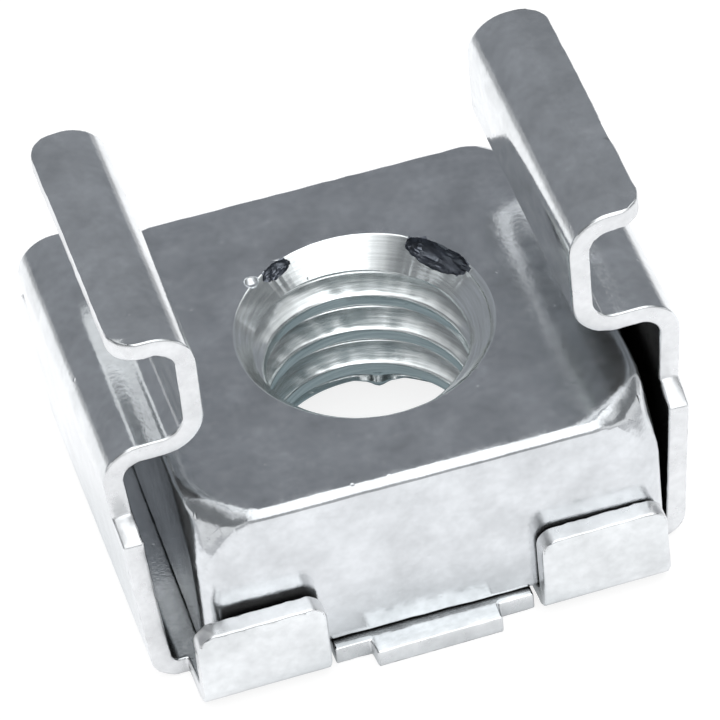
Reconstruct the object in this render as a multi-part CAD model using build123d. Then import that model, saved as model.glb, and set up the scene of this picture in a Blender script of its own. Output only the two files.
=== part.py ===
from build123d import *
import math
import os

# A cage nut for square-hole equipment racks: a square steel nut lying loose in a folded
# spring steel cage. Millimetres, +Z up. The origin is the middle of the base plate's underside.
# X runs from leg to leg, Y runs along the wings.

# Square nut
nut_width = 11.3           # along X
nut_depth = 10.4           # along Y
nut_height = 4.75
nut_side_round = 0.5       # the four upright edges
nut_top_round = 0.22
nut_base_round = 0.2
corner_cut = 0.93          # a cone across the four corners starts this far inside the sharp corners
corner_cone_slope = 60     # degrees below the top face

# Tapped hole, drawn at its tapping size
thread_pitch = 1.0
thread_major = 6.0
thread_minor = thread_major - 1.0825 * thread_pitch
entry_chamfer_diameter = 6.3
exit_chamfer_diameter = 6.2

# How far the loose nut can move in its cage
nut_play_x = 0.45          # each side, against the legs
nut_play_y = 0.3           # each side, against the tabs
nut_headroom = 1.2         # up to the shoulders

# Where it lies: towards the right leg and the front, and turned a little
nut_shift_x = 0.34
nut_shift_y = -0.19
nut_turn = -1.0            # degrees about +Z

# Spring cage: one strip of sheet, folded. Bend radii are inside ones.
sheet = 0.5
panel_hole = 9.5           # side of the square rack hole
spring_press = 0.2         # how far each groove wall stands outside that hole when free
groove_height = 2.65       # thickest panel that the grooves take
groove_bend = 0.55
wing_reach = 1.42          # from the groove's wall to the wing's tip
wing_end_clearance = 0.95   # from each end of a wing to the side of the panel hole
wing_corner_round = 0.7
shoulder_bend = 0.45
leg_splay = 0.45           # how much further out a leg stands at its shoulder than at its foot
leg_width = 9.1
leg_step_drop = 0.85       # a leg narrows to the wing's length this far below the nut's top
foot_bend = 0.2
screw_clearance = 0.35     # from the base plate's hole to the screw, wherever the nut lies

# Front and back edges of the base plate: two tabs, and a lip with a tongue between them
tab_width = 3.15
tab_centre_x = 4.19
tab_height = 2.5           # above the base plate's underside
tab_bend = 0.2
tab_corner_round = 0.45
relief_width = 0.15        # the slit between a tab and the lip
lip_reach = 0.4            # beyond the middle of the nut's play
tongue_reach = 0.45        # beyond the lip
tongue_root_width = 3.6
tongue_tip_width = 3.1
tongue_fillet = 0.2

# Places that follow from the sizes above
corner_cone_radius = math.hypot(nut_width, nut_depth) / 2 - corner_cut
nut_top_z = sheet + nut_height
foot_x = nut_width / 2 + nut_play_x + sheet
shoulder_x = foot_x + leg_splay
shoulder_z = nut_top_z + nut_headroom + sheet
groove_wall_x = panel_hole / 2 + spring_press
wing_z = shoulder_z + groove_height
wing_tip_x = groove_wall_x + wing_reach
wing_length = panel_hole - 2 * wing_end_clearance
float_hole_diameter = thread_major + 2 * (nut_play_x + screw_clearance)
tab_face_y = nut_depth / 2 + nut_play_y + sheet
tab_root_y = tab_face_y - sheet - tab_bend
tab_inner_x = tab_centre_x - tab_width / 2
tab_outer_x = tab_centre_x + tab_width / 2
lip_y = nut_depth / 2 + lip_reach


def folded_strip(points, bends, plane, width):
    """Fold a strip of sheet along its middle line, with the inside radius of each bend."""
    line = Polyline(*points)
    for point, bend in zip(points[1:-1], bends):
        corner = line.vertices().sort_by_distance(Vector(*point))[0]
        line = fillet(corner, bend + sheet / 2)
    return extrude(plane * trace(line, sheet), width / 2, both=True)


def half_strip():
    """Base plate, leg, shoulder, groove and wing of the right half, all at the leg's width."""
    half = sheet / 2
    points = (
        (0, half),
        (foot_x - half, half),
        (shoulder_x - half, shoulder_z - half),
        (groove_wall_x - half, shoulder_z - half),
        (groove_wall_x - half, wing_z + half),
        (wing_tip_x, wing_z + half),
    )
    bends = (foot_bend, shoulder_bend, groove_bend, groove_bend)
    return folded_strip(points, bends, Plane.XZ, leg_width)


def trim_wing(strip):
    """Narrow the strip to the wing's length above the leg's step, and round the wing's tip."""
    step_z = nut_top_z - leg_step_drop
    above = Pos(0, 0, step_z) * Box(
        3 * shoulder_x, wing_length, 2 * wing_z, align=(Align.CENTER, Align.CENTER, Align.MIN)
    )
    below = Pos(0, 0, step_z) * Box(
        3 * shoulder_x, 2 * leg_width, 2 * wing_z, align=(Align.CENTER, Align.CENTER, Align.MAX)
    )
    wing = strip & (above + below)
    tip_corners = wing.edges().filter_by(Axis.Z).group_by(Axis.Z)[-1].group_by(Axis.X)[-1]
    return fillet(tip_corners, wing_corner_round)


def base_edges():
    """The middle of the base plate, out to the tabs' roots, the lips and the tongues."""
    outline = Rectangle(2 * tab_outer_x, 2 * tab_root_y)
    outline += Rectangle(2 * (tab_inner_x - relief_width), 2 * lip_y)
    for relief_x in (-tab_inner_x, tab_inner_x):
        toward_middle = -math.copysign(relief_width / 2, relief_x)
        outline -= Pos(relief_x + toward_middle, lip_y) * Rectangle(relief_width, 4 * lip_reach)
        outline -= Pos(relief_x + toward_middle, -lip_y) * Rectangle(relief_width, 4 * lip_reach)
    tongue = make_face(
        Polyline(
            (-tongue_root_width / 2, 0),
            (-tongue_tip_width / 2, lip_y + tongue_reach),
            (tongue_tip_width / 2, lip_y + tongue_reach),
            (tongue_root_width / 2, 0),
            close=True,
        )
    )
    outline += tongue + mirror(tongue, Plane.XZ)
    tongue_roots = outline.vertices().filter_by(
        lambda v: abs(abs(v.Y) - lip_y) < 1e-6 and abs(v.X) < tongue_root_width / 2
    )
    return extrude(fillet(tongue_roots, tongue_fillet), sheet)


def tab():
    """One upright tab at the front or back, with its bend, running up from the base plate."""
    half = sheet / 2
    points = (
        (tab_root_y - sheet, half),
        (tab_face_y - half, half),
        (tab_face_y - half, tab_height),
    )
    upright = folded_strip(points, (tab_bend,), Plane.YZ, tab_width)
    top_corners = upright.edges().filter_by(Axis.Y).group_by(Axis.Z)[-1]
    return fillet(top_corners, tab_corner_round)


def spring_cage():
    strip = trim_wing(half_strip())
    cage = strip + mirror(strip, Plane.YZ) + base_edges()
    for side in (-1, 1):
        one_tab = Pos(side * tab_centre_x, 0, 0) * tab()
        cage += one_tab + mirror(one_tab, Plane.XZ)
    cage -= Cylinder(float_hole_diameter / 2, 4 * sheet)
    return cage.clean()


def threaded_nut():
    body = Box(nut_width, nut_depth, nut_height, align=(Align.CENTER, Align.CENTER, Align.MIN))
    body = fillet(body.edges().filter_by(Axis.Z), nut_side_round)

    # The corners are cut by one cone about the hole's axis.
    reach = nut_width
    drop = (reach - corner_cone_radius) * math.tan(math.radians(corner_cone_slope))
    envelope = make_face(
        Polyline(
            (0, 0),
            (reach, 0),
            (reach, nut_height - drop),
            (corner_cone_radius, nut_height),
            (0, nut_height),
            close=True,
        )
    )
    body &= revolve(Plane.XZ * envelope, Axis.Z)
    body = fillet(body.faces().sort_by(Axis.Z)[-1].edges(), nut_top_round)
    body = fillet(body.faces().sort_by(Axis.Z)[0].edges(), nut_base_round)

    # The chamfers at both mouths are at 45 degrees.
    body -= Cylinder(thread_minor / 2, 3 * nut_height)
    entry = (entry_chamfer_diameter - thread_minor) / 2
    leaving = (exit_chamfer_diameter - thread_minor) / 2
    top_mouth = body.edges().filter_by(GeomType.CIRCLE).filter_by(
        lambda e: abs(e.radius - thread_minor / 2) < 1e-4
    ).sort_by(Axis.Z)
    body = chamfer(top_mouth[-1], entry)
    bottom_mouth = body.edges().filter_by(GeomType.CIRCLE).filter_by(
        lambda e: abs(e.radius - thread_minor / 2) < 1e-4
    ).sort_by(Axis.Z)
    body = chamfer(bottom_mouth[0], leaving)
    return Pos(nut_shift_x, nut_shift_y, sheet) * Rot(0, 0, nut_turn) * body


os.makedirs("parts", exist_ok=True)
export_step(threaded_nut(), "parts/threaded_nut.step")
export_step(spring_cage(), "parts/spring_cage.step")
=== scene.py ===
import math

import bmesh
import bpy
from mathutils import Matrix, Vector, noise


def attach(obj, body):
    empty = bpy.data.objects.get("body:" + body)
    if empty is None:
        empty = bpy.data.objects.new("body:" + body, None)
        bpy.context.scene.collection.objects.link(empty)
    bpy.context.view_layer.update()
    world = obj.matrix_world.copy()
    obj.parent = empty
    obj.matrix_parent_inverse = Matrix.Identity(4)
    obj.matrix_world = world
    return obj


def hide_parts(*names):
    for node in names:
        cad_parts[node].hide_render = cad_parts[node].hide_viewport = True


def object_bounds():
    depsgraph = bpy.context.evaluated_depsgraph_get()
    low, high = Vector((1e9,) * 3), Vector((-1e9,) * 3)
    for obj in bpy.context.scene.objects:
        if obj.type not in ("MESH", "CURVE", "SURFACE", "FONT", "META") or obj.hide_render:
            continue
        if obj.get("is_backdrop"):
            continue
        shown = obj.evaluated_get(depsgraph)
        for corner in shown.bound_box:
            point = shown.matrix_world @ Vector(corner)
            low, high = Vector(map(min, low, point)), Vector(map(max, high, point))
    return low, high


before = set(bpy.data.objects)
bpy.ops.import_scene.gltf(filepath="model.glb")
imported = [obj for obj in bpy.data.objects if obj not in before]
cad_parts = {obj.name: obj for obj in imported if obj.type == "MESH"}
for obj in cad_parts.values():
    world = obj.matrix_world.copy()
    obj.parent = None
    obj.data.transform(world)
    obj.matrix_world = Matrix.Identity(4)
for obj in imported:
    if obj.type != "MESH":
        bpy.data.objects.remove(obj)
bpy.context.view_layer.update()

# THREADED NUT
# A square of cold-formed steel with one cone cut across its four corners. It is tapped for an M6
# screw, countersunk at both mouths and bright zinc plated. It lies loose in the cage. Its top edges
# are worn round, and the tap has left a torn run-out, a dent and a burr.

# All shapes are drawn in millimetres and brought to metres when they are finished.
MM = 0.001
nut_width, nut_depth, nut_height = 11.3, 10.4, 4.75
nut_side_round = 0.5            # the four uprights
nut_edge_round = 0.18           # the base, and the top's left and back edges
nut_front_round = 0.26          # the top's front and right edges
nut_corner_round = 0.40         # the short edges around the cone
corner_cone_radius = 6.749
corner_cone_slope = math.radians(60)
corner_directions = (41.75, 138.25, 221.75, 318.25)
cone_facet = 5.8                # degrees between the planes that follow the cone
nut_seat = 0.5                  # it rests on the base plate
nut_shift = (0.34, -0.19)
nut_turn = math.radians(-1.0)

# The hole, with its upper mouth as the entry. All sizes across it are radii.
entry_radius, entry_slope, entry_lip = 3.1, math.radians(45), 0.09
exit_radius, exit_lip = 3.0, 0.05
thread_major, thread_minor = 3.0, 2.459
pitch, crest_flat = 1.15, 0.30
thread_turns = 7
crest_turn = math.radians(72.3)
crest_height = 2.52             # above the floor, where a crest passes the direction crest_turn
bore_steps, bore_levels = 180, 14


def finished(bm, name):
    """Put a bmesh into a new object."""
    mesh = bpy.data.meshes.new(name)
    bm.to_mesh(mesh)
    bm.free()
    piece = bpy.data.objects.new(name, mesh)
    bpy.context.scene.collection.objects.link(piece)
    return piece


def settle(piece):
    """Replace the piece's mesh by what its modifiers make of it."""
    graph = bpy.context.evaluated_depsgraph_get()
    mesh = bpy.data.meshes.new_from_object(piece.evaluated_get(graph))
    piece.modifiers.clear()
    piece.data = mesh


def verts_of(shapes):
    """The vertices of some edges or faces, each once and always in the same order."""
    return list(dict.fromkeys(v for shape in shapes for v in shape.verts))


def cut_across(bm, axis, places, faces=None):
    """Add edges right across a mesh, or some of its faces, at places along X, Y or Z."""
    faces = faces or bm.faces[:]
    geometry = verts_of(faces) + list(dict.fromkeys(e for f in faces for e in f.edges)) + faces
    for place in places:
        point, normal = Vector(), Vector()
        point[axis], normal[axis] = place, 1
        geometry = bmesh.ops.bisect_plane(
            bm, geom=geometry, plane_co=point, plane_no=normal, dist=1e-5
        )["geom"]


def steps(low, high, size):
    """Evenly spaced places between low and high, about the given size apart."""
    count = round((high - low) / size)
    return [low + (high - low) * (i + 0.5) / count for i in range(count)]


def press(piece, depth, material_index=None):
    """Push vertices in or out along their normals by depth(place): wear, burrs and waviness.

    A material index picks the vertices of the faces that have it. No vertex moves before all of
    the moves are known.
    """
    corners = piece.data.vertices
    chosen = range(len(corners))
    if material_index is not None:
        picked = (face for face in piece.data.polygons if face.material_index == material_index)
        chosen = sorted({i for face in picked for i in face.vertices})
    moves = [(i, corners[i].normal * depth(corners[i].co)) for i in chosen]
    for i, move in moves:
        corners[i].co += move
    piece.data.update()


def ball(radius, stretch, turn, place):
    """A small ball stretched along X, Y and Z and turned about Z, to cut a tear or a dent."""
    bm = bmesh.new()
    bmesh.ops.create_icosphere(bm, subdivisions=4, radius=radius)
    bmesh.ops.scale(bm, vec=stretch, verts=bm.verts)
    bmesh.ops.rotate(bm, cent=(0, 0, 0), matrix=Matrix.Rotation(turn, 3, "Z"), verts=bm.verts)
    bmesh.ops.translate(bm, vec=place, verts=bm.verts)
    return finished(bm, "ball")


def around_hole(azimuth, radius, height):
    """A place in the nut, by its direction in degrees as seen from above."""
    a = math.radians(azimuth) - nut_turn
    return radius * math.cos(a), radius * math.sin(a), height


def cut_out(piece, tool):
    """Cut a tool out of a piece, and remove the tool."""
    boolean = piece.modifiers.new("tool", "BOOLEAN")
    boolean.operation = "DIFFERENCE"
    boolean.solver = "EXACT"
    boolean.object = tool
    settle(piece)
    bpy.data.objects.remove(tool)


# The blank: a square prism. Three planes follow the cone across each corner.
bm = bmesh.new()
bmesh.ops.create_cube(bm, size=1)
bmesh.ops.scale(bm, vec=(nut_width, nut_depth, nut_height), verts=bm.verts)
bmesh.ops.translate(bm, vec=(0, 0, nut_height / 2), verts=bm.verts)
for corner_direction in corner_directions:
    for beside in (-cone_facet, 0, cone_facet):
        around = math.radians(corner_direction + beside)
        outward = Vector((math.cos(around), math.sin(around), 0))
        lean_up = Vector((0, 0, math.cos(corner_cone_slope)))
        cut = bmesh.ops.bisect_plane(
            bm, geom=bm.verts[:] + bm.edges[:] + bm.faces[:], clear_outer=True,
            plane_co=outward * corner_cone_radius + Vector((0, 0, nut_height)),
            plane_no=outward * math.sin(corner_cone_slope) + lean_up,
        )["geom_cut"]
        bmesh.ops.edgenet_fill(bm, edges=[g for g in cut if isinstance(g, bmesh.types.BMEdge)])
bmesh.ops.recalc_face_normals(bm, faces=bm.faces)

# Every edge is rounded by its own wear: least along the straights, most where the cone begins.
# The edges between the cone's planes are nearly flat, and stay as they are.
flattest_edge = math.radians(18)
shortest_upright, longest_corner_edge = 3, 2
wear = bm.edges.layers.float.new("bevel_weight_edge")
for edge in bm.edges:
    if edge.calc_face_angle(0) < flattest_edge:
        continue
    mid = (edge.verts[0].co + edge.verts[1].co) / 2
    above_base = mid.z > 0.01
    at_right, at_front = mid.x > nut_width / 2 - 0.1, mid.y < 0.1 - nut_depth / 2
    width = nut_edge_round
    if abs(edge.verts[0].co.z - edge.verts[1].co.z) > shortest_upright:
        width = nut_side_round
    elif above_base and edge.calc_length() < longest_corner_edge:
        width = nut_corner_round
    elif above_base and (at_right or at_front):
        width = nut_front_round
    edge[wear] = width / nut_side_round
nut = finished(bm, "square_nut")
edge_round = nut.modifiers.new("edge_round", "BEVEL")
edge_round.use_clamp_overlap = False
edge_round.width = nut_side_round
edge_round.segments = 5
edge_round.limit_method = "WEIGHT"
settle(nut)

# A net of edges gives the wear something to move.
top_net, side_net = 0.3, 0.4
bm = bmesh.new()
bm.from_mesh(nut.data)
cut_across(bm, 0, steps(-nut_width / 2, nut_width / 2, top_net))
cut_across(bm, 1, steps(-nut_depth / 2, nut_depth / 2, top_net))
cut_across(bm, 2, steps(0, nut_height, side_net))
bm.to_mesh(nut.data)
bm.free()

# How far the dings reach from an edge, across the top and down the sides, and how deep they are
dinged_across, dinged_down, ding_depth = 0.4, 0.3, 0.022
face_wave = 0.004


def nut_wear(place):
    """Dings along the edges, and faces that are not quite flat."""
    over = [
        max(0, abs(place.x) - nut_width / 2 + dinged_across),
        max(0, abs(place.y) - nut_depth / 2 + dinged_across),
        max(0, abs(place.z - nut_height / 2) - nut_height / 2 + dinged_down),
    ]
    edge = min(1, 6 * sorted(over)[1])
    return face_wave * noise.noise(place * 0.45) + edge * ding_depth * (noise.noise(place * 2.6) - 0.35)


press(nut, nut_wear)

# The hole with its two countersinks. The lip of the upper one is worn round. Both lips run out a
# hair beyond the nut's faces, and the tool goes on well past them.
run_out = 0.5
entry_flare, exit_flare = (0.02, 0.006), (0.04, 0.004)
entry_depth = (entry_radius - thread_minor) * math.tan(entry_slope)
exit_depth = exit_radius - thread_minor
bore_top = nut_height - entry_depth
lip_centre = entry_radius + entry_lip * math.tan(entry_slope / 2)
worn_lip = [
    (lip_centre - entry_lip * math.sin(a), nut_height - entry_lip * (1 - math.cos(a)))
    for a in (entry_slope * f for f in (1, 0.75, 0.5, 0.25))
]
bore = [
    (thread_minor, exit_depth + (bore_top - exit_depth) * i / bore_levels) for i in range(bore_levels + 1)
]
hole_side = (
    (0, -run_out),
    (exit_radius + run_out, -run_out),
    (exit_radius + exit_flare[0], -exit_flare[1]),
    (exit_radius - exit_lip, exit_lip),
    *bore,
    *worn_lip,
    (lip_centre + entry_flare[0], nut_height + entry_flare[1]),
    (entry_radius + run_out, nut_height + run_out),
    (0, nut_height + run_out),
)
bm = bmesh.new()
corners = [bm.verts.new((r, 0, z)) for r, z in hole_side]
outline = [bm.edges.new(pair) for pair in zip(corners, corners[1:])]
bmesh.ops.spin(
    bm, geom=corners + outline, cent=(0, 0, 0), axis=(0, 0, 1), dvec=(0, 0, 0),
    angle=math.tau, steps=bore_steps, use_merge=True,
)
bmesh.ops.remove_doubles(bm, verts=bm.verts, dist=1e-4)
bmesh.ops.recalc_face_normals(bm, faces=bm.faces)
cut_out(nut, finished(bm, "countersink"))

# The tap's groove: a 60 degree profile with a rounded root and rounded crests, swept up the helix.
# The crest's curve is measured outwards from the bore and up from the groove's mouth, and the
# root's outwards from the major radius and up from the groove's middle.
half_groove = (pitch - crest_flat) / 2
flank = math.tan(math.radians(30))
crest_curve = ((-0.12, 0.02), (-0.001, 0.02), (0.008, -0.002), (0.03, -0.026), (0.07, -0.050))
root_curve = ((-0.025, 0.112), (-0.012, 0.075))
crest_reach = 0.12
flank_end = thread_major - 0.05
groove_side = (
    *((thread_minor + out, half_groove + up) for out, up in crest_curve),
    (thread_minor + crest_reach, half_groove - crest_reach * flank),
    (flank_end, half_groove - (flank_end - thread_minor) * flank),
    *((thread_major + out, up) for out, up in root_curve),
)
bm = bmesh.new()
groove = [bm.verts.new((r, 0, z)) for r, z in groove_side]
groove += [bm.verts.new((r, 0, -z)) for r, z in reversed(groove_side)]
ring = [bm.edges.new(pair) for pair in zip(groove, groove[1:] + groove[:1])]
first = bmesh.ops.contextual_create(bm, geom=ring)["faces"]
bmesh.ops.spin(
    bm, geom=first, cent=(0, 0, 0), axis=(0, 0, 1), dvec=(0, 0, pitch / bore_steps),
    angle=math.tau * thread_turns, steps=bore_steps * thread_turns,
)
bmesh.ops.recalc_face_normals(bm, faces=bm.faces)
first_turn = Matrix.Rotation(crest_turn - nut_turn, 3, "Z")
bmesh.ops.rotate(bm, cent=(0, 0, 0), matrix=first_turn, verts=bm.verts)
bmesh.ops.translate(bm, vec=(0, 0, crest_height - nut_seat - thread_turns / 2 * pitch), verts=bm.verts)
cut_out(nut, finished(bm, "tap"))

# The torn ends of the tap's groove on the countersink, and a dent beside them. Each tear has its
# direction, radius and height, and its half sizes outwards, along the rim and upwards.
torn = (
    (36, 2.96, nut_height - 0.25, (0.29, 1.12, 0.36)),
    (118, 3.02, nut_height - 0.14, (0.17, 0.46, 0.22)),
)
torn_skin = 0.03
for azimuth, radius, height, size in torn:
    cut_out(nut, ball(1, size, math.radians(azimuth) - nut_turn, around_hole(azimuth, radius, height)))
dent_radius, dent_place = 0.21, around_hole(131, 3.16, nut_height + 0.04)
cut_out(nut, ball(dent_radius, (1, 1, 0.8), 0, dent_place))


def on_tear(place):
    """Whether a place lies on the wall of one of the torn ends."""
    for azimuth, radius, height, size in torn:
        turned = Matrix.Rotation(nut_turn - math.radians(azimuth), 3, "Z")
        out = turned @ (place - Vector(around_hole(azimuth, radius, height)))
        if abs(Vector(o / s for o, s in zip(out, size)).length - 1) < torn_skin:
            return True
    return False


# The hole's faces have their own materials, as the tap and the drill have streaked or torn them. The
# thread's zinc is also painted lighter than the nut's outside, to brighten the bore.
hole_rim = entry_radius + 0.02
for face in nut.data.polygons:
    centre = face.center
    if on_tear(centre):
        face.material_index = 2
    elif math.hypot(centre.x, centre.y) < hole_rim:
        face.material_index = 1

# Directions are in degrees, sizes in millimetres: the ragged stretch of the rim, and the burr.
chatter_depth, ragged_depth = 0.006, 0.05
ragged_direction, ragged_reach, ragged_inside, ragged_height = -48, 34, 2.9, 0.3
burr_direction, burr_reach, burr_length, burr_height = 74, 11, 0.20, 0.62
hole_wear_end = entry_radius + 0.25


def bore_wear(place):
    """Chatter in the thread, a ragged rim towards the front and a burr at the far side's foot."""
    radius = math.hypot(place.x, place.y)
    if radius > hole_wear_end:
        return 0
    azimuth = math.degrees(math.atan2(place.y, place.x))
    ragged = 0
    if place.z > nut_height - ragged_height and radius > ragged_inside:
        ragged = max(0, 1 - abs(azimuth - ragged_direction) / ragged_reach)
    chatter = chatter_depth + ragged_depth * ragged
    burr = 0
    if place.z < burr_height:
        beside = azimuth - burr_direction
        teeth = 0.75 + 0.25 * math.cos(beside / 2.2)
        burr = burr_length * max(0, 1 - (beside / burr_reach) ** 2) * teeth
    return burr + chatter * noise.noise(Vector((place.x * 5, place.y * 5, place.z * 9)))


def torn_wear(place):
    """The coarse and the fine grain of torn steel."""
    return 0.05 * noise.noise(place * 7) + 0.03 * noise.noise(place * 19)


press(nut, bore_wear)
press(nut, torn_wear, material_index=2)

nut.data.transform(
    Matrix.Scale(MM, 4)
    @ Matrix.Translation((*nut_shift, nut_seat))
    @ Matrix.Rotation(nut_turn, 4, "Z")
)
nut.data.shade_smooth()
nut.data.set_sharp_from_angle(angle=math.radians(32))
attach(nut, "root")
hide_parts("threaded_nut")


def zinc(name, tint, roughness, painted_shade_limit=0.12, streaks=0.0, specks=0.6, grain=0.000012, metal=0.94):
    """Bright zinc on steel: a cool metal with blotches, pits that sparkle, soft rub marks, and shade
    painted into its corners.

    Painted_shade_limit gives how bright the painted shade leaves the deepest corners and gaps, and streaks
    how strongly a tool has drawn lines round the hole's axis. Specks is the pits' strength, and grain the
    surface's depth in metres.
    """
    material = bpy.data.materials.new(name)
    material.use_nodes = True
    nodes, links = material.node_tree.nodes, material.node_tree.links
    shader = nodes["Principled BSDF"]
    shader.inputs["Metallic"].default_value = metal
    place = nodes.new("ShaderNodeTexCoord").outputs["Object"]

    def cloud(scale, detail, vector):
        noise_node = nodes.new("ShaderNodeTexNoise")
        noise_node.inputs["Scale"].default_value = scale
        noise_node.inputs["Detail"].default_value = detail
        links.new(vector, noise_node.inputs["Vector"])
        return noise_node.outputs["Fac"]

    def spread(value, low, high, to_low, to_high):
        mapped = nodes.new("ShaderNodeMapRange")
        labels = ("From Min", "From Max", "To Min", "To Max")
        for label, number in zip(labels, (low, high, to_low, to_high)):
            mapped.inputs[label].default_value = number
        links.new(value, mapped.inputs["Value"])
        return mapped.outputs["Result"]

    def math_of(operation, a, b):
        node = nodes.new("ShaderNodeMath")
        node.operation = operation
        for socket, value in zip(node.inputs, (a, b)):
            if isinstance(value, float):
                socket.default_value = value
            else:
                links.new(value, socket)
        return node.outputs["Value"]

    # Lines drawn round the hole change quickly with height and radius, and slowly with direction.
    if streaks:
        centred = nodes.new("ShaderNodeVectorMath")
        centred.operation = "SUBTRACT"
        centred.inputs[1].default_value = (nut_shift[0] * MM, nut_shift[1] * MM, 0)
        links.new(place, centred.inputs[0])
        parts = nodes.new("ShaderNodeSeparateXYZ")
        links.new(centred.outputs["Vector"], parts.inputs["Vector"])
        direction = math_of("ARCTAN2", parts.outputs["Y"], parts.outputs["X"])
        flat = nodes.new("ShaderNodeCombineXYZ")
        links.new(parts.outputs["X"], flat.inputs["X"])
        links.new(parts.outputs["Y"], flat.inputs["Y"])
        radius = nodes.new("ShaderNodeVectorMath")
        radius.operation = "LENGTH"
        links.new(flat.outputs["Vector"], radius.inputs[0])
        drawn = nodes.new("ShaderNodeCombineXYZ")
        links.new(math_of("MULTIPLY", direction, 0.00012), drawn.inputs["X"])
        links.new(radius.outputs["Value"], drawn.inputs["Y"])
        links.new(parts.outputs["Z"], drawn.inputs["Z"])
        pattern = cloud(14000, 3, drawn.outputs["Vector"])
        mottle = spread(pattern, 0.3, 0.7, 1 - streaks, 1.0)
    else:
        pattern = cloud(9000, 3, place)
        blotches = spread(cloud(900, 5, place), 0.3, 0.7, 0.80, 1.0)
        mottle = math_of("MULTIPLY", blotches, spread(cloud(4200, 3, place), 0.3, 0.7, 0.90, 1.0))

    # Painted shade: ambient occlusion darkens the colour in corners, gaps and hollows, down to the given
    # limit.
    painted_crevice_shade = nodes.new("ShaderNodeAmbientOcclusion")
    painted_crevice_shade.samples = 8
    painted_crevice_shade.inputs["Distance"].default_value = 0.0012
    shade = math_of("MULTIPLY", mottle, spread(painted_crevice_shade.outputs["AO"], 0.12, 0.5, painted_shade_limit, 1.0))
    colour = nodes.new("ShaderNodeMix")
    colour.data_type = "RGBA"
    colour.blend_type = "MULTIPLY"
    colour.inputs["Factor"].default_value = 1
    colour.inputs["A"].default_value = (*tint, 1)
    links.new(shade, colour.inputs["B"])
    links.new(colour.outputs["Result"], shader.inputs["Base Color"])

    gloss = spread(cloud(1800, 6, place), 0.3, 0.75, roughness * 0.75, roughness * 1.45)
    links.new(gloss, shader.inputs["Roughness"])

    relief = nodes.new("ShaderNodeBump")
    relief.inputs["Strength"].default_value = 0.12 if streaks else 0.3
    relief.inputs["Distance"].default_value = grain
    links.new(pattern, relief.inputs["Height"])
    pits = nodes.new("ShaderNodeTexVoronoi")
    pits.inputs["Scale"].default_value = 1500
    links.new(place, pits.inputs["Vector"])
    pit = nodes.new("ShaderNodeBump")
    pit.inputs["Strength"].default_value = specks
    pit.inputs["Distance"].default_value = 0.00001
    links.new(spread(pits.outputs["Distance"], 0.02, 0.09, 0.0, 1.0), pit.inputs["Height"])
    links.new(relief.outputs["Normal"], pit.inputs["Normal"])
    links.new(pit.outputs["Normal"], shader.inputs["Normal"])
    return material


for finish in (
    zinc("bright_zinc_on_nut", (0.80, 0.82, 0.84), 0.16),
    # Painted light: the thread's zinc is tinted lighter than the same zinc outside, so the bore renders
    # brighter.
    zinc("zinc_in_thread_painted_lighter", (0.97, 1.0, 1.0), 0.15, painted_shade_limit=0.9, streaks=0.22),
    zinc("torn_steel", (0.24, 0.26, 0.30), 0.34, painted_shade_limit=0.6, specks=1.0, grain=0.00007),
):
    nut.data.materials.append(finish)

# SPRING CAGE
# One strip of spring steel sheet, blanked and folded: a base plate with four tabs, two lips and two
# tongues, a leg at each end, and above each leg a shoulder, a groove for the rail and a wing. The
# sheared edges are rougher than the rolled faces, and stand up in small burrs at the legs' steps.

# It is drawn as the sheet's middle surface, and every bend's radius is that surface's own.
sheet = 0.5
middle = sheet / 2
foot, shoulder = (6.35, middle), (6.8, 6.7)     # the corners of the folded line, before bending
groove_wall = 4.7
wing_middle, wing_tip, tip_round = 9.85, 6.37, 0.7
foot_bend, shoulder_bend, groove_bend, tab_bend = 0.45, 0.70, 0.80, 0.45
leg_half, wing_half = 4.55, 3.8
step_height = {-1: 4.95, 1: 4.5}                # where the left and the right leg narrow
step_fall = 0.3                                 # from the step's inner end to its outer end
tab_root, tab_inner, tab_outer, tab_top, tab_corner = 5.3, 2.615, 5.765, 2.5, 0.45
slit, slit_end = 0.15, 4.8
lip, tongue, tongue_root, tongue_tip = 5.6, 6.05, 1.59, 1.55
float_hole = 3.8
shear_round = 0.06
net, plate_net = 0.22, 0.15


def run_on(bm, free_edge, offset):
    """Extend the sheet's free edge by a straight run and return its new free edge."""
    made = bmesh.ops.extrude_edge_only(bm, edges=free_edge)["geom"]
    verts = [g for g in made if isinstance(g, bmesh.types.BMVert)]
    bmesh.ops.translate(bm, vec=offset, verts=verts)
    return [g for g in made if isinstance(g, bmesh.types.BMEdge) and set(g.verts) <= set(verts)]


def fold(bm, free_edge, heading, moves):
    """Run on from the free edge: a move is a straight length, a turn in degrees and its radius."""
    across = heading.cross(Vector((0, 0, 1))).normalized()
    for length, turn, radius in moves:
        count = max(1, round(length / net))
        for _ in range(count if length else 0):
            free_edge = run_on(bm, free_edge, heading * length / count)
        if turn:
            side = across.cross(heading) * math.copysign(radius, turn)
            last = bmesh.ops.spin(
                bm, geom=verts_of(free_edge) + free_edge,
                cent=free_edge[0].verts[0].co + side, axis=across, dvec=(0, 0, 0),
                angle=math.radians(turn), steps=10,
            )["geom_last"]
            free_edge = [g for g in last if isinstance(g, bmesh.types.BMEdge)]
            heading = Matrix.Rotation(math.radians(turn), 3, across) @ heading
    return free_edge


def tangent(radius, turn):
    """How much of each straight run a bend takes up."""
    return radius * math.tan(math.radians(turn) / 2)


def edges_on(bm, axis, place, low, high):
    """The flat plate's edges on x or y = place, with their middle between low and high."""
    other = 1 - axis
    return [
        e for e in bm.edges
        if all(abs(v.co[axis] - place) < 1e-4 for v in e.verts)
        and low < (e.verts[0].co[other] + e.verts[1].co[other]) / 2 < high
    ]


def rounded_corners(bm, corners, radius):
    """Round the corners of a flat end of the sheet."""
    bmesh.ops.bevel(
        bm, geom=corners, offset=radius, offset_type="OFFSET", segments=8, profile=0.5,
        affect="VERTICES", material=-1,
    )


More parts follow.
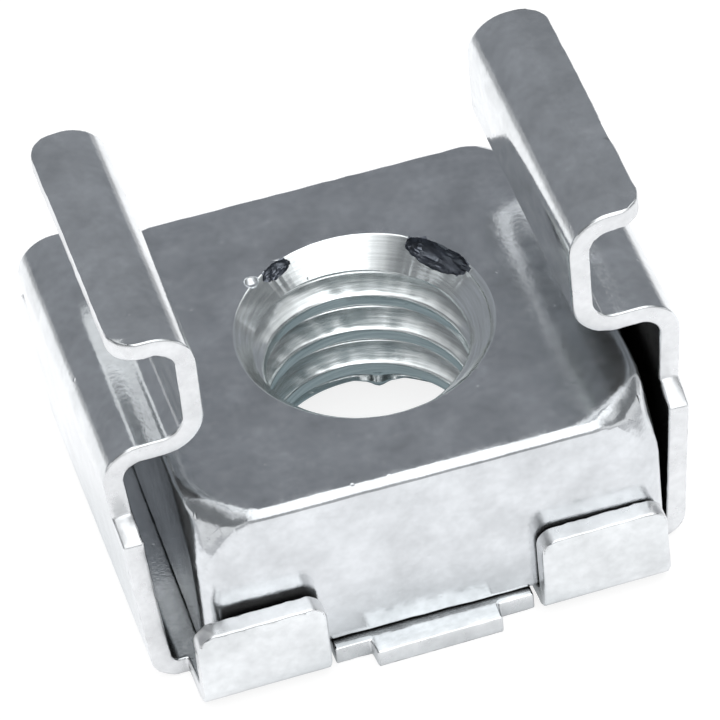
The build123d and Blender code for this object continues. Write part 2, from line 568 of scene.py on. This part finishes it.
# The flat blank of the base plate, with slits beside the lips.
lean = math.degrees(math.atan2(shoulder[1] - foot[1], shoulder[0] - foot[0]))
foot_start = foot[0] - tangent(foot_bend, lean)
bm = bmesh.new()
bmesh.ops.create_grid(bm, x_segments=1, y_segments=1, size=1)
bmesh.ops.scale(bm, vec=(foot_start, tab_root, 1), verts=bm.verts)
bmesh.ops.translate(bm, vec=(0, 0, middle), verts=bm.verts)
feature_lines = (
    (Vector((1, 0, 0)), (tab_outer, tab_inner, tab_inner - slit, tongue_root)),
    (Vector((0, 1, 0)), (leg_half, slit_end, wing_half)),
)
for direction, distances in feature_lines:
    for point in (direction * side * distance for distance in distances for side in (-1, 1)):
        everything = bm.verts[:] + bm.edges[:] + bm.faces[:]
        bmesh.ops.bisect_plane(bm, geom=everything, plane_co=point, plane_no=direction)
waste = []
for face in bm.faces:
    x, y = (abs(c) for c in face.calc_center_median()[:2])
    beside_leg = x > tab_outer and y > leg_half
    in_slit = tab_inner - slit < x < tab_inner and y > slit_end
    if beside_leg or in_slit:
        waste.append(face)
bmesh.ops.delete(bm, geom=waste, context="FACES")

# The two legs, each folded on through its shoulder and groove to the wing. The last run of an end
# with rounded corners is longer than their radius by this much.
wing_spare, tab_spare = 0.03, 0.05
leg_length = math.dist(foot, shoulder) - tangent(foot_bend, lean)
shoulder_turn = 180 - lean
for side in (-1, 1):
    heading = Vector((side, 0, 0))
    leg_root = edges_on(bm, 0, side * foot_start, -leg_half, leg_half)
    leg_top = fold(bm, leg_root, heading, ((0, lean, foot_bend),))
    up_leg = Matrix.Rotation(math.radians(lean), 3, heading.cross(Vector((0, 0, 1)))) @ heading
    to_step = (step_height[side] - leg_top[0].verts[0].co.z) / up_leg.z
    leg_top = fold(bm, leg_top, up_leg, ((to_step - 2 * net, 0, 0),))
    leg_top = run_on(bm, leg_top, up_leg * 2 * net)
    wing_root = [e for e in leg_top if all(abs(v.co.y) < wing_half + 0.01 for v in e.verts)]
    for v in verts_of(leg_top):
        if abs(v.co.y) > leg_half - 0.01:
            v.co -= up_leg * step_fall
    shoulder_room = tangent(shoulder_bend, shoulder_turn)
    wing_edge = fold(bm, wing_root, up_leg, (
        (leg_length - to_step - shoulder_room, shoulder_turn, shoulder_bend),
        (shoulder[0] - groove_wall - shoulder_room - groove_bend, -90, groove_bend),
        (wing_middle - shoulder[1] - 2 * groove_bend, -90, groove_bend),
        (wing_tip - groove_wall - groove_bend - tip_round - wing_spare, 0, 0),
    ))
    wing_edge = run_on(bm, wing_edge, Vector((side * (tip_round + wing_spare), 0, 0)))
    wing_corners = [v for v in verts_of(wing_edge) if abs(abs(v.co.y) - wing_half) < 1e-4]
    rounded_corners(bm, wing_corners, tip_round)

# The tabs stand up at the plate's front and back; the lips and tongues run on flat.
for side in (-1, 1):
    heading = Vector((0, side, 0))
    for low, high in ((tab_inner, tab_outer), (-tab_outer, -tab_inner)):
        tab_edge = fold(bm, edges_on(bm, 1, side * tab_root, low, high), heading, (
            (0, 90, tab_bend), (tab_top - middle - tab_bend - tab_corner - tab_spare, 0, 0),
        ))
        tab_edge = run_on(bm, tab_edge, Vector((0, 0, tab_corner + tab_spare)))
        ends = sorted(verts_of(tab_edge), key=lambda v: v.co.x)
        rounded_corners(bm, [ends[0], ends[-1]], tab_corner)
    lip_root = edges_on(bm, 1, side * tab_root, slit - tab_inner, tab_inner - slit)
    lip_edge = run_on(bm, lip_root, heading * (lip - tab_root))
    tongue_base = [e for e in lip_edge if all(abs(v.co.x) < tongue_root + 0.01 for v in e.verts)]
    tongue_edge = run_on(bm, tongue_base, heading * (tongue - lip))
    for v in verts_of(tongue_edge):
        v.co.x *= tongue_tip / tongue_root
bmesh.ops.remove_doubles(bm, verts=bm.verts, dist=1e-4)
bmesh.ops.recalc_face_normals(bm, faces=bm.faces)
cage = finished(bm, "folded_cage")

# A net of edges gives the wear something to move. Across the plate and the tabs it keeps clear of
# the outline's own corners.
bm = bmesh.new()
bm.from_mesh(cage.data)
plate = [
    f for f in bm.faces if all(abs(v.co.x) < foot_start + 0.01 and v.co.z < tab_top + 0.1 for v in f.verts)
]
lines = (tongue_root, tab_inner - slit, tab_inner, tab_outer, foot_start)
places = [x for low, high in zip((-tongue_root, *lines), lines) for x in steps(low, high, plate_net)]
cut_across(bm, 0, places + [-x for x in places if x > tongue_root], plate)
cut_across(bm, 1, [
    y for low, high in ((-wing_half, wing_half), (wing_half, leg_half), (-leg_half, -wing_half))
    for y in steps(low, high, net)
])
bmesh.ops.remove_doubles(bm, verts=bm.verts, dist=0.03)
bm.to_mesh(cage.data)
bm.free()

# The sheet's thickness, with the sheared edges as its rim, then the punched hole and worn edges.
wall = cage.modifiers.new("wall", "SOLIDIFY")
wall.thickness = sheet
wall.offset = 0
wall.use_even_offset = True
wall.use_quality_normals = True
wall.material_offset_rim = 1
cage.data.materials.append(zinc("bright_zinc_on_cage", (0.90, 0.92, 0.93), 0.14))
cage.data.materials.append(zinc("sheared_edge", (0.95, 0.96, 0.97), 0.30, painted_shade_limit=0.5, metal=0.8))
settle(cage)
bm = bmesh.new()
bmesh.ops.create_cone(
    bm, cap_ends=True, segments=120, depth=2, radius1=float_hole, radius2=float_hole
)
cut_out(cage, finished(bm, "punch"))
shear = cage.modifiers.new("shear_round", "BEVEL")
shear.width = shear_round
shear.use_clamp_overlap = False
shear.segments = 3
shear.limit_method = "ANGLE"
shear.angle_limit = math.radians(50)
settle(cage)

shear_ripple, tab_serration = 0.018, 0.03
nick_y, nick_half, nick_depth = -1.0, 0.5, 0.12
step_burrs = ((-6.6, -4.15, 4.8), (-6.55, -4.5, 4.5), (6.6, -4.2, 4.35), (6.6, -3.9, 4.6))
step_burr_reach, step_burr_length = 0.32, 0.11


def cage_wear(place):
    """Faces that are not quite flat."""
    return 0.004 * noise.noise(place * 0.7) + 0.003 * noise.noise(place * 3)


def shear_wear(place):
    """Sheared edges are uneven; the tabs' tops are serrated; the right wing's edge has a nick."""
    uneven = shear_ripple * (noise.noise(place * 4.3) + 0.5 * noise.noise(place * 9) - 0.45)
    if abs(place.y) > tab_root and place.z > 1:
        uneven = tab_serration * (noise.noise(Vector((place.x * 4.2, 0, 4.0))) - 0.4)
    nick = 0
    if place.x > wing_tip - 0.2 and place.z > 9:
        nick = max(0, 1 - abs(place.y - nick_y) / nick_half)
    burr = max(max(0, 1 - (place - Vector(spot)).length / step_burr_reach) for spot in step_burrs)
    return uneven - nick_depth * nick + step_burr_length * burr


press(cage, cage_wear)
press(cage, shear_wear, material_index=1)

cage.data.transform(Matrix.Scale(MM, 4))
cage.data.shade_smooth()
cage.data.set_sharp_from_angle(angle=math.radians(75))
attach(cage, "root")
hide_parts("spring_cage")

# THE GROUND AND THE LIGHT
# White paper under the part, a grey room and a narrow soft box overhead that reaches down in front.
# The metal mirrors them: the room in the level faces, the paper in the upright ones.

# What the metal sees of the paper, by the distance in metres from the part's middle: a painted shadow
# under the part, dark through the hole, white beside the part, and grey where the painted pool of the
# lamp's light ends.
painted_paper_shadow_and_light = (
    (0.0042, (0.15, 0.20, 0.22, 1)),
    (0.0052, (0.90, 0.91, 0.93, 1)),
    (0.03, (0.90, 0.91, 0.93, 1)),
    (0.06, (0.20, 0.21, 0.23, 1)),
)
bm = bmesh.new()
bmesh.ops.create_grid(bm, x_segments=8, y_segments=8, size=0.6)
floor = finished(bm, "floor")
floor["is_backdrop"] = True
paint = bpy.data.materials.new("white_paper")
paint.use_nodes = True
nodes, links = paint.node_tree.nodes, paint.node_tree.links
nodes.clear()
surface = nodes.new("ShaderNodeOutputMaterial")
matte = nodes.new("ShaderNodeBsdfDiffuse")
matte.inputs["Color"].default_value = (0.26, 0.26, 0.26, 1)
glow = nodes.new("ShaderNodeEmission")
ray = nodes.new("ShaderNodeLightPath")
place = nodes.new("ShaderNodeTexCoord")
reach = nodes.new("ShaderNodeVectorMath")
reach.operation = "LENGTH"
links.new(place.outputs["Object"], reach.inputs[0])
fade = nodes.new("ShaderNodeValToRGB")
marks = fade.color_ramp.elements
while len(marks) < len(painted_paper_shadow_and_light):
    marks.new(1)
for i, (position, level) in enumerate(painted_paper_shadow_and_light):
    marks[i].position, marks[i].color = position, level
links.new(reach.outputs["Value"], fade.inputs["Fac"])
# Mirrored in the metal, the paper glows with the painted shadow and pool of light. To the camera it glows
# evenly.
pick = nodes.new("ShaderNodeMix")
pick.data_type = "RGBA"
links.new(ray.outputs["Is Glossy Ray"], pick.inputs["Factor"])
pick.inputs["A"].default_value = (0.85, 0.85, 0.85, 1)
links.new(fade.outputs["Color"], pick.inputs["B"])
links.new(pick.outputs["Result"], glow.inputs["Color"])
seen = nodes.new("ShaderNodeMath")
seen.operation = "MAXIMUM"
links.new(ray.outputs["Is Camera Ray"], seen.inputs[0])
links.new(ray.outputs["Is Glossy Ray"], seen.inputs[1])
links.new(seen.outputs["Value"], glow.inputs["Strength"])
both = nodes.new("ShaderNodeAddShader")
links.new(matte.outputs["BSDF"], both.inputs[0])
links.new(glow.outputs["Emission"], both.inputs[1])
links.new(both.outputs["Shader"], surface.inputs["Surface"])
floor.data.materials.append(paint)

# The room is white to the camera and as a lamp. Only mirrored in the metal does it have its parts.
world = bpy.data.worlds.new("studio")
bpy.context.scene.world = world
world.use_nodes = True
nodes, links = world.node_tree.nodes, world.node_tree.links
nodes.clear()
surface = nodes.new("ShaderNodeOutputWorld")
sky = nodes.new("ShaderNodeBackground")
links.new(sky.outputs["Background"], surface.inputs["Surface"])
place = nodes.new("ShaderNodeTexCoord")
axes = nodes.new("ShaderNodeSeparateXYZ")
links.new(place.outputs["Generated"], axes.inputs["Vector"])
right, away, up = axes.outputs["X"], axes.outputs["Y"], axes.outputs["Z"]
back_wall, front_room = (0.225, 0.24, 0.265), (0.17, 0.18, 0.19)
low_front_light, low_side_light = (0.45, 0.46, 0.47), (0.85, 0.86, 0.87)
soft_box = (1.70, 1.73, 1.75)


def off_centre(value, centre):
    """How far one direction is from a centre, to either side."""
    offset = nodes.new("ShaderNodeMath")
    offset.operation = "SUBTRACT"
    offset.inputs[1].default_value = centre
    links.new(value, offset.inputs[0])
    size = nodes.new("ShaderNodeMath")
    size.operation = "ABSOLUTE"
    links.new(offset.outputs["Value"], size.inputs[0])
    return size.outputs["Value"]


def ramp(value, dark, light):
    """A smooth step along one direction: 0 beyond dark, 1 beyond light."""
    edge = nodes.new("ShaderNodeMapRange")
    edge.interpolation_type = "SMOOTHSTEP"
    edge.inputs["From Min"].default_value = dark
    edge.inputs["From Max"].default_value = light
    links.new(value, edge.inputs["Value"])
    return edge.outputs["Result"]


def times(a, b):
    """Where both of two parts of the room are."""
    product = nodes.new("ShaderNodeMath")
    product.operation = "MULTIPLY"
    links.new(a, product.inputs[0])
    links.new(b, product.inputs[1])
    return product.outputs["Value"]


def lay_over(amount, level, ground):
    """Lay one level of light over what is there already."""
    over = nodes.new("ShaderNodeMix")
    over.data_type = "RGBA"
    links.new(amount, over.inputs["Factor"])
    if isinstance(ground, tuple):
        over.inputs["A"].default_value = (*ground, 1)
    else:
        links.new(ground, over.inputs["A"])
    over.inputs["B"].default_value = (*level, 1)
    return over.outputs["Result"]


to_front = ramp(away, 0.50, 0.36)
low_front = times(ramp(away, -0.2, -0.6), ramp(up, 0.3, 0.2))
low_side = times(ramp(away, 0.4, 0.2), ramp(up, 0.34, 0.22))
low_side = times(low_side, ramp(off_centre(right, 0), 0.4, 0.6))
overhead = times(times(ramp(off_centre(right, 0.13), 0.75, 0.20), to_front), ramp(up, 0.25, 0.40))
studio = lay_over(to_front, front_room, back_wall)
studio = lay_over(low_front, low_front_light, studio)
studio = lay_over(low_side, low_side_light, studio)
studio = lay_over(overhead, soft_box, studio)
ray = nodes.new("ShaderNodeLightPath")
pick = nodes.new("ShaderNodeMix")
pick.data_type = "RGBA"
links.new(ray.outputs["Is Glossy Ray"], pick.inputs["Factor"])
pick.inputs["A"].default_value = (1, 1, 1, 1)
links.new(studio, pick.inputs["B"])
links.new(pick.outputs["Result"], sky.inputs["Color"])

# The camera stands in front of the part, a little to the left, looking 44 degrees down.
aim = Vector((-0.0000542, -0.0010428, 0.005))
azimuth, elevation, roll = math.radians(-12.817), math.radians(44.410), math.radians(6.384)
distance = 0.149072
level_back = math.cos(elevation)
back = Vector((math.sin(azimuth) * level_back, -math.cos(azimuth) * level_back, math.sin(elevation)))
camera = bpy.data.objects.new("camera", bpy.data.cameras.new("camera"))
bpy.context.scene.collection.objects.link(camera)
camera.location = aim + back * distance
camera.rotation_mode = "QUATERNION"
camera.rotation_quaternion = (
    (-back).to_track_quat("-Z", "Y") @ Matrix.Rotation(-roll, 4, "Z").to_quaternion()
)
camera.data.lens = 317.25
camera.data.sensor_width = 36
camera.data.clip_start, camera.data.clip_end = 0.01, 10
bpy.context.scene.camera = camera

bpy.context.scene.view_settings.view_transform = "Standard"

low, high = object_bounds()
